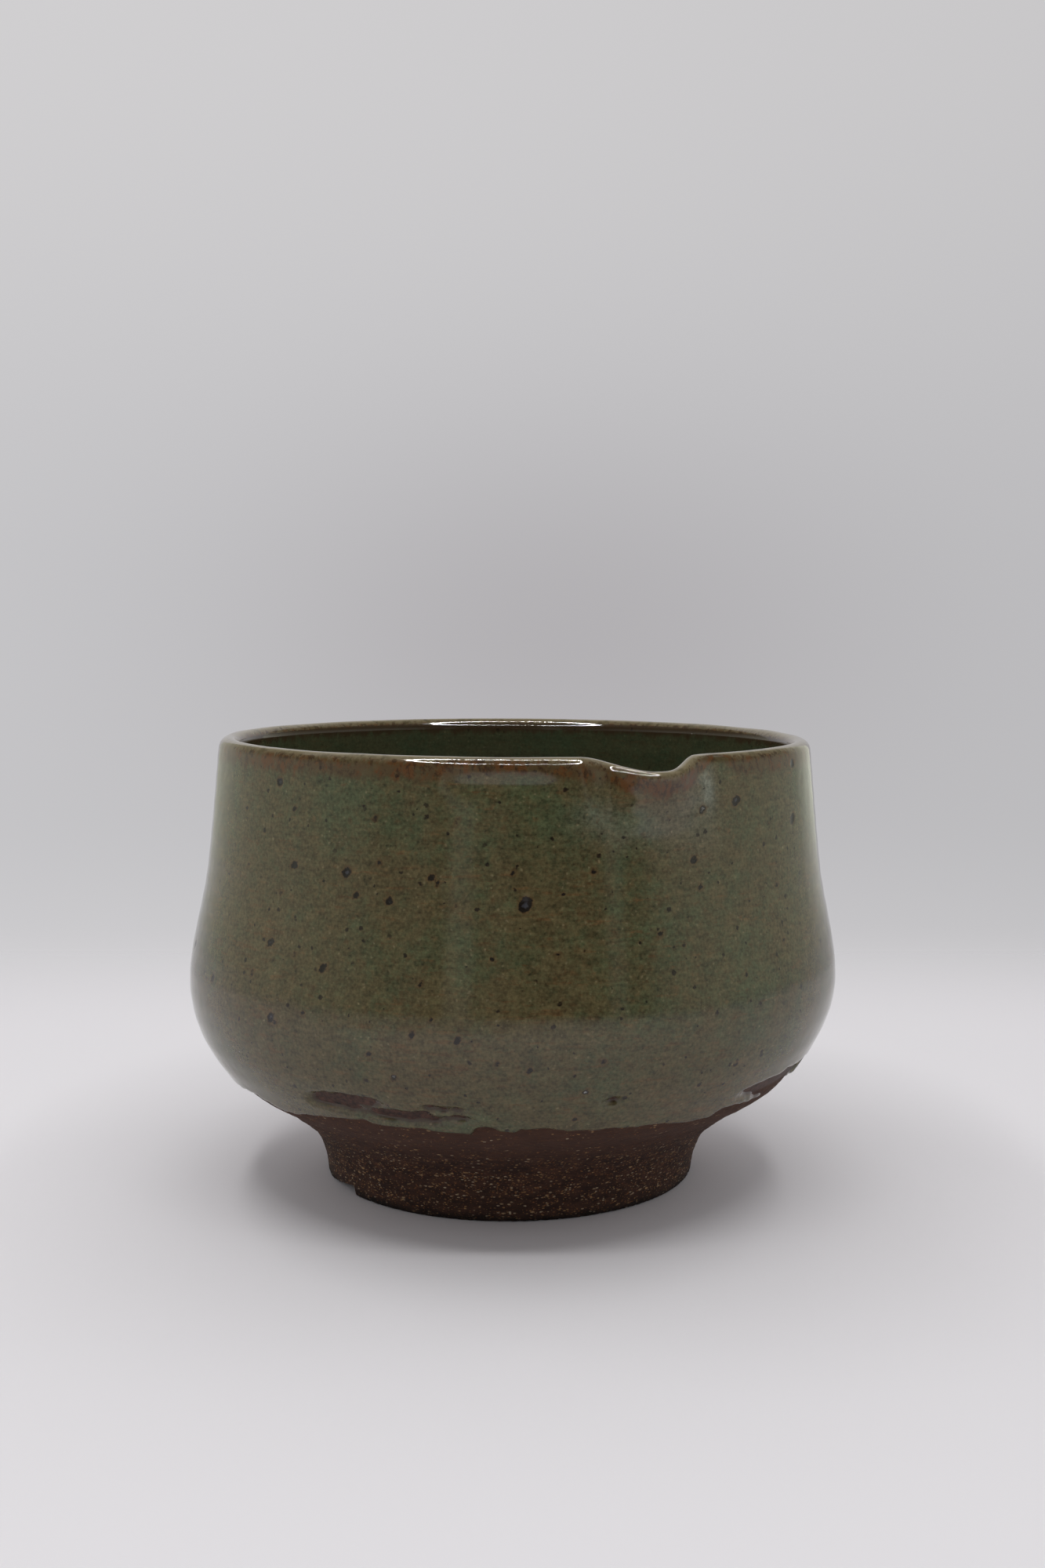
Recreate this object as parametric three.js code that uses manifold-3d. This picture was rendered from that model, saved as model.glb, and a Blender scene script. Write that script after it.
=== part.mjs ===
// Tea bowl with a small pulled spout: a thrown stoneware bowl luted onto a turned foot ring, with
// one coat of glaze poured inside it and one that the outside was dipped in.
// Millimetres, +Z up. The foot stands on z = 0 about the origin, and the spout points along -Y.
import * as THREE from "three";
import { mergeVertices } from "three/addons/utils/BufferGeometryUtils.js";
import Module from "manifold-3d";

const wasm = await Module();
wasm.setup();

// Whole bowl
const height = 82;
const lean = 0.9; // the lip stands this far to +X of the foot
const bond = 0.05; // clearance between two layers that are fired together

// Outer side of the clay, from the table up to the belly
const footRadius = 34.5;
const footSwell = 0.8; // the ring is this much wider at its middle than at the table
const footSwellHeight = 4.5;
const rootSpread = 3.4; // and this much wider where the bowl springs from it
const rootHeight = 9.7;
const haunchRadius = 44.3;
const haunchHeight = 15;
const flankRadius = 52.9;
const flankHeight = 21.5;
const bellyRadius = 59.5;
const bellyHeight = 36.4;

// and from the belly up to the lip
const shoulderRadius = 56.2;
const lipRadius = 53.8;
const lipThickness = 2.2;

// Wall and floor of the clay
const shoulderWall = 3.2;
const bellyWall = 4.3;
const flankWall = 5.2;
const floorThickness = 6;
const floorRadius = 32; // where the floor turns up into the wall
const floorRise = 3.2;
const poolRadius = 18; // shallow dip in the floor where the last tea gathers
const poolDepth = 0.9;

// Foot ring
const footHeight = 7.5;
const footWidth = 6.5;
const footTaper = 1; // the ring grows inwards by this much towards its top
const footBevel = 0.6;
const nippleRadius = 8; // low point that the turning tool leaves inside the ring
const nippleDrop = 0.7;

// Slanting cut across the foot ring: deep at one end, running out at the other
const nickAngle = -77.5;
const nickLength = 13;
const nickDepth = 1.2;

// Glaze
const glazeThickness = 0.75;
const glazeLine = 21.2; // mean height of its lower edge on the outside
const glazeWave = 1.1; // its edge wanders this far up and down
const glazeWaves = [
  { turns: 3, share: 0.45, start: 20 },
  { turns: 7, share: 0.35, start: 75 },
  { turns: 13, share: 0.2, start: 140 },
];

// Places low on the side where the glaze crawled back and left the clay bare
const crawls = [
  { angle: -52.5, rise: 4.9, length: 11.4, width: 3.4, tilt: 2 },
  { angle: -42, rise: 3.2, length: 10, width: 2.2, tilt: -4 },
  { angle: 29, rise: 3, length: 14, width: 1.8, tilt: 0 },
];

// Spout: a short stretch of the lip pulled down and out, steeper on one flank than on the other
const spoutDrop = 2.5;
const spoutReach = 3;
const spoutFade = 15; // height of the wall that the pull reaches down
const spoutLeft = { start: -13.5, end: -0.5 }; // angles where the gentle flank starts and ends
const spoutRight = { start: 3, end: 9 };

// Fineness of the surfaces
const columns = 60;
const columnCrowding = 0.5; // columns stand closer together towards the spout
const sideRowsBelow = 5; // rows on the bare side, between the ring and the glaze
const sideRowsAbove = 10;
const ringRows = 3;
const lipRows = 4;
const innerRows = 10;

const { degToRad, lerp, smoothstep } = THREE.MathUtils;
const coat = bond + glazeThickness; // from the clay to the face of the glaze
const lipCurve = lipThickness / 2;
const lipHeight = height - coat - lipCurve; // centre of the rounded lip
const floorHeight = footHeight + floorThickness;

const materials = {
  clay: new THREE.MeshStandardMaterial({ color: "#3a291f", roughness: 0.9, metalness: 0 }),
  foot: new THREE.MeshStandardMaterial({ color: "#332319", roughness: 0.95, metalness: 0 }),
  inside: new THREE.MeshStandardMaterial({ color: "#3c4630", roughness: 0.2, metalness: 0 }),
  outside: new THREE.MeshStandardMaterial({ color: "#5c5c45", roughness: 0.22, metalness: 0 }),
};

// Outer side of the clay as one smooth curve of radius and height, from the table to the lip
const outline = new THREE.SplineCurve([
  new THREE.Vector2(footRadius, 0),
  new THREE.Vector2(footRadius + footSwell, footSwellHeight),
  new THREE.Vector2(footRadius + rootSpread, rootHeight),
  new THREE.Vector2(haunchRadius, haunchHeight),
  new THREE.Vector2(flankRadius, flankHeight),
  new THREE.Vector2(bellyRadius, bellyHeight),
  new THREE.Vector2(shoulderRadius, (bellyHeight + lipHeight) / 2),
  new THREE.Vector2(lipRadius, lipHeight),
]);
const outlineSpans = outline.points.length - 1;
const flankPlace = 4 / outlineSpans;
const bellyPlace = 5 / outlineSpans;
const shoulderPlace = 6 / outlineSpans;

// Inner side of the clay, from the lip down to the middle of the floor
const inline = new THREE.SplineCurve([
  new THREE.Vector2(lipRadius - lipThickness, lipHeight),
  insideOf(shoulderPlace, shoulderWall),
  insideOf(bellyPlace, bellyWall),
  insideOf(flankPlace, flankWall),
  new THREE.Vector2(floorRadius, floorHeight + floorRise),
  new THREE.Vector2(poolRadius, floorHeight + poolDepth),
  new THREE.Vector2(poolRadius / 2, floorHeight),
  new THREE.Vector2(0, floorHeight),
]);

// Outward normal of the outline at a place from 0 at the table to 1 at the lip
function outlineNormal(place) {
  const along = outline.getTangent(place);
  return new THREE.Vector2(along.y, -along.x);
}

// Point inside the outline by the thickness of the wall
function insideOf(place, wall) {
  return outline.getPoint(place).addScaledVector(outlineNormal(place), -wall);
}

// Place on the outline that lies at a height, found by halving
function placeAt(wanted) {
  let low = 0;
  let high = 1;
  for (let step = 0; step < 40; step++) {
    const middle = (low + high) / 2;
    if (outline.getPoint(middle).y < wanted) {
      low = middle;
    } else {
      high = middle;
    }
  }
  return low;
}

// Points of a curve, both ends included
function rowsOf(curve, from, to, count) {
  return Array.from({ length: count + 1 }, (_, row) => curve.getPoint(lerp(from, to, row / count)));
}

// Rounded top of the lip, from its outer side over to its inner side, without its two ends
function lipPoints() {
  const points = [];
  for (let row = 1; row < lipRows; row++) {
    const turn = (Math.PI * row) / lipRows;
    const radius = lipRadius - lipCurve + lipCurve * Math.cos(turn);
    points.push(new THREE.Vector2(radius, lipHeight + lipCurve * Math.sin(turn)));
  }
  return points;
}

// The same points moved off their line by a distance, so that every stretch stays parallel
function moveOff(points, distance) {
  const normals = points.slice(1).map((point, i) => {
    const along = point.clone().sub(points[i]).normalize();
    return new THREE.Vector2(along.y, -along.x);
  });
  return points.map((point, i) => {
    const before = normals[Math.max(i - 1, 0)];
    const after = normals[Math.min(i, normals.length - 1)];
    const mitre = before.clone().add(after).divideScalar(1 + before.dot(after));
    return point.clone().addScaledVector(mitre, distance);
  });
}

// How far the lip is pulled at an angle, from 0 outside the spout to 1 at its lowest stretch
function spoutPull(angle) {
  const degrees = THREE.MathUtils.radToDeg(angle);
  const left = smoothstep(degrees, spoutLeft.start, spoutLeft.end);
  const right = 1 - smoothstep(degrees, spoutRight.start, spoutRight.end);
  return left * right;
}

// What the hand does to the round form: it pulls the spout down and out, and leans the whole
function byHand(angle, radius, level) {
  const pull = spoutPull(angle) * smoothstep(level, height - spoutFade, height);
  const reach = radius + spoutReach * pull;
  const x = reach * Math.sin(angle) + (lean * level) / height;
  return new THREE.Vector3(x, -reach * Math.cos(angle), level - spoutDrop * pull);
}

// Angle of a column, with the columns crowded towards the spout
function columnAngle(column) {
  const even = (2 * Math.PI * column) / columns;
  return even - columnCrowding * Math.sin(even);
}

// Turns a profile about the upright axis, then works its columns by hand. The stretches from
// flipFrom on are split along their other diagonal, so that a coat's back, which runs the other
// way, folds just as the clay under it does.
function turned(profile, { trim = () => {}, flipFrom = Infinity, flipTo = Infinity } = {}) {
  const geometry = new THREE.LatheGeometry(profile, columns);
  const position = geometry.attributes.position;
  for (let column = 0; column <= columns; column++) {
    const angle = column === columns ? 0 : columnAngle(column);
    const points = profile.map((point) => point.clone());
    trim(points, angle);
    points.forEach((point, row) => {
      const place = byHand(angle, point.x, point.y);
      position.setXYZ(column * points.length + row, place.x, place.y, place.z);
    });
  }
  const corners = geometry.index.array;
  const stretches = profile.length - 1;
  for (let quad = 0; quad < corners.length / 6; quad++) {
    const stretch = quad % stretches;
    if (stretch >= flipFrom && stretch < flipTo) {
      const [a, b, d, c] = corners.slice(6 * quad, 6 * quad + 4);
      corners.set([a, b, c, a, c, d], 6 * quad);
    }
  }
  return geometry;
}

// Closed geometry to solid: shared corners merged, collapsed faces left out
function solidOf(geometry) {
  const bare = geometry.clone();
  bare.deleteAttribute("normal");
  bare.deleteAttribute("uv");
  const merged = mergeVertices(bare, 1e-5);
  const corners = merged.index.array;
  const kept = [];
  for (let i = 0; i < corners.length; i += 3) {
    const [a, b, c] = corners.slice(i, i + 3);
    if (a !== b && b !== c && c !== a) {
      kept.push(a, b, c);
    }
  }
  const vertProperties = new Float32Array(merged.attributes.position.array);
  return new wasm.Manifold(new wasm.Mesh({ numProp: 3, vertProperties, triVerts: new Uint32Array(kept) }));
}

// Solid back to geometry
function geometryOf(solid) {
  const mesh = solid.getMesh();
  const geometry = new THREE.BufferGeometry();
  geometry.setAttribute("position", new THREE.BufferAttribute(mesh.vertProperties, 3));
  geometry.setIndex(new THREE.BufferAttribute(mesh.triVerts, 1));
  geometry.computeVertexNormals();
  return geometry;
}

function named(name, geometry, material) {
  const mesh = new THREE.Mesh(geometry, material);
  mesh.name = name;
  return mesh;
}

// Glazed side of the clay from the lowest reach of the glaze, over the lip, to the floor's middle.
// The glaze's edge wanders within the first stretch.
function glazedSide() {
  return [
    outline.getPoint(placeAt(glazeLine - glazeWave)),
    ...rowsOf(outline, placeAt(glazeLine + glazeWave), 1, sideRowsAbove),
    ...lipPoints(),
    ...rowsOf(inline, 0, 1, innerRows),
  ];
}

// Row at the crest of the lip, where the outside glaze meets the inside one
const crestRow = 1 + sideRowsAbove + lipRows / 2;

// Bowl: floor and wall in one, with the low nipple under its floor
function makeClayBowl() {
  const underside = footHeight + bond;
  const below = rowsOf(outline, placeAt(underside), placeAt(glazeLine - glazeWave), sideRowsBelow);
  const profile = [
    new THREE.Vector2(0, underside - nippleDrop),
    new THREE.Vector2(nippleRadius / 2, underside - nippleDrop / 2),
    new THREE.Vector2(nippleRadius, underside),
    ...below,
    ...glazedSide().slice(1),
  ];
  return solidOf(turned(profile));
}

// Foot ring: turned ring with bevelled edges, before its cut
function makeRing() {
  const inner = footRadius - footWidth;
  const profile = [
    new THREE.Vector2(inner + footBevel, 0),
    new THREE.Vector2(footRadius - footBevel, 0),
    ...rowsOf(outline, placeAt(footBevel), placeAt(footHeight), ringRows),
    new THREE.Vector2(inner - footTaper, footHeight),
    new THREE.Vector2(inner, footBevel),
    new THREE.Vector2(inner + footBevel, 0),
  ];
  return solidOf(turned(profile));
}

// Wedge of air that passes under the ring, steep at the nick's angle and running out sideways
function makeNick() {
  const margin = 2;
  const wedge = new THREE.Shape();
  wedge.moveTo(0, -margin);
  wedge.lineTo(nickLength, -margin);
  wedge.lineTo(nickLength, 0);
  wedge.lineTo(0, nickDepth);
  const geometry = new THREE.ExtrudeGeometry(wedge, { depth: footWidth + 2 * margin, bevelEnabled: false });
  const angle = degToRad(nickAngle);
  const away = new THREE.Vector3(-Math.cos(angle), -Math.sin(angle), 0);
  const up = new THREE.Vector3(0, 0, 1);
  const inward = away.clone().cross(up);
  const place = new THREE.Matrix4().makeBasis(away, up, inward);
  place.setPosition(inward.clone().multiplyScalar(-footRadius - margin));
  geometry.applyMatrix4(place);
  return solidOf(geometry);
}

// Share of the first stretch that the glaze leaves bare at an angle, from 0 to 1
function glazeEdge(angle) {
  let wave = 0;
  for (const { turns, share, start } of glazeWaves) {
    wave += share * Math.sin(turns * angle + degToRad(start));
  }
  return (1 + wave) / 2;
}

// Glaze between two rows of the glazed side: its face on the outside, its back on the clay
function glazeProfile(from, to, crestGap) {
  const side = glazedSide();
  const face = moveOff(side, coat).slice(from, to + 1);
  const back = moveOff(side, bond).slice(from, to + 1);
  for (const line of [face, back]) {
    line[crestRow - from].x += crestGap;
  }
  return { face, back };
}

// Outside coat, from the crest of the lip down to its wandering edge
function makeOutsideGlaze() {
  const { face, back } = glazeProfile(0, crestRow, bond / 2);
  const profile = [...face, ...back.reverse(), face[0].clone()];
  const last = profile.length - 1;
  const edge = (points, angle) => {
    const bare = glazeEdge(angle);
    points[0].lerp(points[1], bare);
    points[last - 1].lerp(points[last - 2], bare);
    points[last].copy(points[0]);
  };
  return solidOf(turned(profile, { trim: edge, flipFrom: face.length, flipTo: last - 1 }));
}

// Lens of air through the outside coat, square to the wall, where the glaze crawled back
function makeCrawl({ angle, rise, length, width, tilt }) {
  const reach = 2 * coat;
  const shape = new THREE.Shape();
  shape.absellipse(0, 0, length / 2, width / 2, 0, 2 * Math.PI, false, degToRad(tilt));
  const geometry = new THREE.ExtrudeGeometry(shape, { depth: 2 * reach, bevelEnabled: false, curveSegments: 16 });
  const turn = degToRad(angle);
  const place = placeAt(glazeLine + rise);
  const point = outline.getPoint(place);
  const normal = outlineNormal(place);
  const across = new THREE.Vector3(Math.cos(turn), Math.sin(turn), 0);
  const out = new THREE.Vector3(normal.x * Math.sin(turn), -normal.x * Math.cos(turn), normal.y);
  const up = out.clone().cross(across);
  const centre = byHand(turn, point.x, point.y).addScaledVector(out, -reach);
  geometry.applyMatrix4(new THREE.Matrix4().makeBasis(across, up, out).setPosition(centre));
  return solidOf(geometry);
}

// Inside coat, from the crest of the lip down over the floor
function makeInsideGlaze() {
  const lastRow = glazedSide().length - 1;
  const { face, back } = glazeProfile(crestRow, lastRow, -bond / 2);
  for (const line of [face, back]) {
    line[line.length - 1].x = 0;
  }
  return solidOf(turned([...back.reverse(), ...face], { flipFrom: 0, flipTo: back.length - 1 }));
}

const outsideGlaze = crawls.reduce((glaze, crawl) => glaze.subtract(makeCrawl(crawl)), makeOutsideGlaze());
const footRing = makeRing().subtract(makeNick());

const teaBowl = new THREE.Group();
teaBowl.add(
  named("clay_bowl", geometryOf(makeClayBowl()), materials.clay),
  named("foot_ring", geometryOf(footRing), materials.foot),
  named("inside_glaze", geometryOf(makeInsideGlaze()), materials.inside),
  named("outside_glaze", geometryOf(outsideGlaze), materials.outside),
);

export default teaBowl;
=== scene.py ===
# Stoneware tea bowl with a small pulled spout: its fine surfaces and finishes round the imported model.
# Shapes are worked out in millimetres and written in metres; +Z is up and the spout points along -Y.
import math

import bpy
import numpy as np
from mathutils import Euler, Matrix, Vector


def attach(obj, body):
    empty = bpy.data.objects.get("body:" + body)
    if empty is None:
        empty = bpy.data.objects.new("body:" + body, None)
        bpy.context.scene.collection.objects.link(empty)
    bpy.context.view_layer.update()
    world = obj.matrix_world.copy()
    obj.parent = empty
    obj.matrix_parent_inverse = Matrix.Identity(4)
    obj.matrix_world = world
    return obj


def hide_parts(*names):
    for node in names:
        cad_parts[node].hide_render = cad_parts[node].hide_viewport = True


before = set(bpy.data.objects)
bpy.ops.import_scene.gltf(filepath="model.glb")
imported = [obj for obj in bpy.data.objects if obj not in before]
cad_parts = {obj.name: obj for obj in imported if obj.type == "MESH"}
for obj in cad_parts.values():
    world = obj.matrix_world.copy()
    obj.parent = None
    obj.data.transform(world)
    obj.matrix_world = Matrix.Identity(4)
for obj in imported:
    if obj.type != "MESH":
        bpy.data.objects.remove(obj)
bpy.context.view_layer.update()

mm = 0.001
photoAzimuth = -24.0   # the photo's camera stands this many degrees round from the spout, to its left

# The clay form in mm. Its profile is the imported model's, and it leans a little more.
pot = {
    "height": 82.0,
    "lean": 1.15,
    "outer": [(34.5, 0.0), (35.3, 4.5), (37.9, 9.7), (44.3, 15.0), (52.9, 21.5), (59.5, 36.4)],
    "shoulderRadius": 56.2,
    "lipRadius": 53.8,
    "lipThickness": 2.2,
    "walls": {"shoulder": 3.2, "belly": 4.3, "flank": 5.2},
    "floorThickness": 6.0,
    "floorRadius": 32.0,
    "floorRise": 3.2,
    "poolRadius": 18.0,
    "poolDepth": 0.9,
    "footHeight": 7.5,
    "footWidth": 6.5,
    "footTaper": 1.0,
    "glaze": 0.8,          # from the clay to the face of the glaze
    "columns": 600,
    "crowding": 0.32,      # columns stand closer together towards the photo's side
}

# What the hands did to the round form, in mm and in degrees from the spout
hand = {
    "spoutDrop": 2.3,
    "spoutReach": 3.2,
    "spoutFade": 15.0,            # height of the wall that the pull reaches down
    "fadeBend": 1.7,              # powers that bend the soft steps
    "dropBend": 2.2,
    "reachBend": 1.2,
    "dropLeft": (-13.0, -0.4),    # where the lip sinks into the spout
    "dropRight": (-0.5, 8.4),     # and climbs out of it, slowly at first
    "reachLeft": (-8.2, -0.3),    # where the bulge under the spout begins
    "reachRight": (1.0, 12.8),    # and ends, slowly at first
    "pinchAt": -7.8,              # where a finger pressed in beside the spout
    "pinchWide": 3.6,
    "pinchDepth": 1.15,
    "dentFrom": (-37.0, -30.0),   # a shallow dent under the lip
    "dentTo": (-21.0, -14.0),
    "dentHeight": 77.6,
    "dentTall": 1.8,
    "dentDepth": 0.55,
    "bow": 0.2,                   # how far the wall bellies over to the side it leans to
    "sway": -0.35,                # and how far the flank swings back
    "swayHeight": 27.0,
    "swayTall": 6.0,
    "ovalRadius": 0.5,            # how far the lip is out of round
    "ovalTurn": -30.0,
    "flare": 0.75,
    "rimWave": 0.28,              # how far the lip rises and falls
    "rimTurn": 240.0,
}


def steps(low, high, value):
    # Smooth step from 0 at low to 1 at high: t * t * (3 - 2 t)
    t = np.clip((value - low) / (high - low), 0.0, 1.0)
    return t * t * (3.0 - 2.0 * t)


def bell(value, middle, width):
    # Bell that is 1 at the middle: exp(-((value - middle) / width)^2)
    return np.exp(-(((value - middle) / width) ** 2))


def fromSpout(angle):
    # Degrees from the spout, from -180 to 180
    return (np.degrees(angle) + 180.0) % 360.0 - 180.0


def dentSpan(degrees):
    # 1 over the dent under the lip, falling softly to 0 at its two ends
    return steps(*hand["dentFrom"], degrees) * (1.0 - steps(*hand["dentTo"], degrees))


def throughStations(stations, perSpan):
    # Smooth curve through stations: on each span a cubic whose end slopes are half the chord of the
    # two neighbouring stations
    p = np.array(stations, float)
    spans = len(p) - 1
    t = np.linspace(0.0, spans, spans * perSpan + 1)
    i = np.minimum(t.astype(int), spans - 1)
    w = (t - i)[:, None]
    a, b, c, d = p[np.maximum(i - 1, 0)], p[i], p[i + 1], p[np.minimum(i + 2, spans)]
    slopeB = (c - a) / 2
    slopeC = (d - b) / 2
    cubic = (2 * b - 2 * c + slopeB + slopeC) * w**3
    square = (3 * c - 3 * b - 2 * slopeB - slopeC) * w**2
    return cubic + square + slopeB * w + b


def normalsOf(line):
    # Normals of a profile on its right hand, from the slope at each point
    along = np.gradient(line, axis=0)
    along /= np.linalg.norm(along, axis=1)[:, None]
    return np.stack([along[:, 1], -along[:, 0]], 1)


class Side:
    # The whole side of the clay as one line of radius and height by its length in mm: up the outside
    # from the table, round the lip and down the inside to the middle of the floor
    def __init__(self):
        lipCurve = pot["lipThickness"] / 2
        lipHeight = pot["height"] - pot["glaze"] - lipCurve
        belly = pot["outer"][-1]
        shoulder = (pot["shoulderRadius"], (belly[1] + lipHeight) / 2)
        stations = pot["outer"] + [shoulder, (pot["lipRadius"], lipHeight)]
        perSpan = 200
        outer = throughStations(stations, perSpan)
        normals = normalsOf(outer)

        def inside(station, wall):
            k = station * perSpan
            return tuple(outer[k] - normals[k] * wall)

        turn = np.linspace(0.0, math.pi, 121)[1:-1]
        centre = pot["lipRadius"] - lipCurve
        lip = np.stack([centre + lipCurve * np.cos(turn), lipHeight + lipCurve * np.sin(turn)], 1)
        floor = pot["footHeight"] + pot["floorThickness"]
        inner = throughStations([
            (pot["lipRadius"] - pot["lipThickness"], lipHeight),
            inside(6, pot["walls"]["shoulder"]),
            inside(5, pot["walls"]["belly"]),
            inside(4, pot["walls"]["flank"]),
            (pot["floorRadius"], floor + pot["floorRise"]),
            (pot["poolRadius"], floor + pot["poolDepth"]),
            (pot["poolRadius"] / 2, floor),
            (0.0, floor),
        ], perSpan)
        line = np.concatenate([outer, lip, inner])
        self.length = np.concatenate([[0.0], np.cumsum(np.linalg.norm(np.diff(line, axis=0), axis=1))])
        self.line = line
        self.normal = normalsOf(line)
        self.crest = self.length[len(outer) + len(lip) // 2]
        self.end = self.length[-1]
        self.outerEnd = len(outer)

    def at(self, length):
        # Radius, height and the two parts of the normal at lengths along the side
        return [np.interp(length, self.length, column) for column in (*self.line.T, *self.normal.T)]

    def lengthAt(self, height):
        # Length along the outside at a height
        return np.interp(height, self.line[: self.outerEnd, 1], self.length[: self.outerEnd])


side = Side()


def columnAngles():
    # Angles of the columns in radians, drawn together on the photo's side: even less a share of its sine
    even = np.linspace(0.0, 2 * math.pi, pot["columns"], endpoint=False)
    return even - pot["crowding"] * np.sin(even) + math.radians(photoAzimuth)


def worked(angle, radius, level):
    # Places in mm of points given by angle, radius and height, after the hand has pulled the spout,
    # pushed the lip a little out of round and leaned the whole
    degrees = fromSpout(angle)
    rise = np.clip(level / pot["height"], 0.0, 1.0)
    fade = np.clip(1.0 - (pot["height"] - level) / hand["spoutFade"], 0.0, 1.0) ** hand["fadeBend"]
    sunk = 1.0 - steps(*hand["dropRight"], degrees) ** hand["dropBend"]
    drop = steps(*hand["dropLeft"], degrees) * sunk * fade
    pulled = 1.0 - steps(*hand["reachRight"], degrees) ** hand["reachBend"]
    pull = steps(*hand["reachLeft"], degrees) * pulled * fade
    pinch = hand["pinchDepth"] * bell(degrees, hand["pinchAt"], hand["pinchWide"]) * fade
    dent = hand["dentDepth"] * dentSpan(degrees) * bell(level, hand["dentHeight"], hand["dentTall"])
    oval = hand["ovalRadius"] * np.cos(2.0 * (angle - math.radians(hand["ovalTurn"])))
    wave = hand["rimWave"] * rise**4 * np.cos(angle - math.radians(hand["rimTurn"]))
    reach = radius + hand["spoutReach"] * pull - pinch - dent + (oval + hand["flare"]) * rise**4
    bow = hand["bow"] * np.sin(math.pi * rise)
    sway = bow + hand["sway"] * bell(level, hand["swayHeight"], hand["swayTall"])
    x = reach * np.sin(angle) + pot["lean"] * rise + sway
    y = -reach * np.cos(angle)
    z = level - hand["spoutDrop"] * drop + wave
    return np.stack(np.broadcast_arrays(x, y, z), -1)


def ripples(angle, length, size, seed, flatten=1.0, count=36):
    # Smooth random relief from -1 to 1 that closes on itself round the pot: a sum of waves about one
    # size long, flatten times longer round the pot than up it
    draw = np.random.default_rng(seed)
    total = np.zeros(np.broadcast(angle, length).shape)
    around = 55.0   # radius in mm that stands for the whole pot
    for _ in range(count):
        heading = draw.uniform(0.0, math.pi)
        pace = 2 * math.pi / (size * draw.uniform(0.7, 1.5))
        turns = round(pace * math.cos(heading) * around / flatten)
        climb = pace * math.sin(heading)
        total = total + np.cos(turns * angle + climb * length + draw.uniform(0.0, 2 * math.pi))
    return total / math.sqrt(count)


def rowLengths(*stretches):
    # Lengths along the side for the rows of a grid: each stretch is its start, its end and its spacing
    rows = []
    for start, end, spacing in stretches:
        count = max(int(abs(end - start) / spacing), 1)
        rows.append(np.linspace(start, end, count + 1)[:-1])
    rows.append(np.array([stretches[-1][1]]))
    return np.concatenate(rows)


def addObject(name, data):
    # New object in the scene, at the origin
    thing = bpy.data.objects.new(name, data)
    bpy.context.scene.collection.objects.link(thing)
    return thing


def writeMesh(name, grid, poles, values):
    # Mesh of a grid of places in mm whose rows run along a profile and whose columns go round. With
    # poles its first and last rows are single points on the axis, and without them its rows close
    # on themselves. Values are further grids, which become the mesh's attributes.
    rows, columns = grid.shape[:2]
    keep = np.ones((rows, columns), bool)
    if poles:
        keep[[0, -1], 1:] = False
    index = (np.cumsum(keep.ravel()) - 1).reshape(rows, columns)
    if not poles:
        index = np.concatenate([index, index[:1]])
    across = np.roll(index, -1, axis=1)
    quads = np.stack([index[:-1], across[:-1], across[1:], index[1:]], -1)
    faces = quads[1:-1].reshape(-1, 4) if poles else quads.reshape(-1, 4)
    corners = [faces.ravel()]
    sizes = [np.full(len(faces), 4)]
    if poles:
        fans = [quads[0][:, [0, 2, 3]], quads[-1][:, [0, 1, 3]]]
        corners += [fan.ravel() for fan in fans]
        sizes += [np.full(len(fan), 3) for fan in fans]
    corners = np.concatenate(corners).astype(np.int32)
    sizes = np.concatenate(sizes)
    places = (grid[keep] * mm).astype(np.float32)
    mesh = bpy.data.meshes.new(name)
    mesh.vertices.add(len(places))
    mesh.vertices.foreach_set("co", places.ravel())
    mesh.loops.add(len(corners))
    mesh.loops.foreach_set("vertex_index", corners)
    mesh.polygons.add(len(sizes))
    mesh.polygons.foreach_set("loop_start", (np.cumsum(sizes) - sizes).astype(np.int32))
    mesh.update(calc_edges=True)
    mesh.validate()
    mesh.polygons.foreach_set("use_smooth", np.ones(len(mesh.polygons), bool))
    for key, value in values.items():
        layer = mesh.attributes.new(key, "FLOAT", "POINT")
        full = np.broadcast_to(value, grid.shape[:2])
        layer.data.foreach_set("value", full[keep].astype(np.float32))
    return addObject(name, mesh)


# Marks left in the clay by throwing and turning, in mm
marks = {
    "swell": 0.012,        # long swellings of the thrown wall
    "ring": 0.018,         # finger rings on the wall
    "ringPitch": 4.2,
    "turned": 0.035,       # lines of the turning tool on the bare foot
    "turnedPitch": 1.15,
    "rough": 0.03,         # torn grain of the bare clay
    "innerRing": 0.11,     # finger rings of the floor inside
    "innerPitch": 5.5,
    "underRing": 0.05,     # spiral of the tool on the underside
    "underPitch": 2.1,
    "nipple": 0.7,         # what the tool left standing in its middle
    "nippleRadius": 8.0,
}


def clayRelief(angle, length):
    # Height of the clay's marks off its smooth side: swellings, and rings that climb in a spiral
    spiral = length / marks["ringPitch"] - angle / (2 * math.pi)
    rings = np.sin(2 * math.pi * spiral + 0.9 * ripples(angle, length, 30.0, 5, 3.0))
    return marks["swell"] * ripples(angle, length, 26.0, 3, 2.0) + marks["ring"] * rings


def bareRelief(angle, length):
    # Turning lines and torn grain of the bare clay
    spiral = length / marks["turnedPitch"] - angle / (2 * math.pi)
    lines = np.abs(np.sin(math.pi * spiral + 0.8 * ripples(angle, length, 9.0, 11, 6.0)))
    grain = ripples(angle, length, 1.3, 12, 1.6, 60)
    return marks["turned"] * (lines - 0.6) + marks["rough"] * grain


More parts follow.
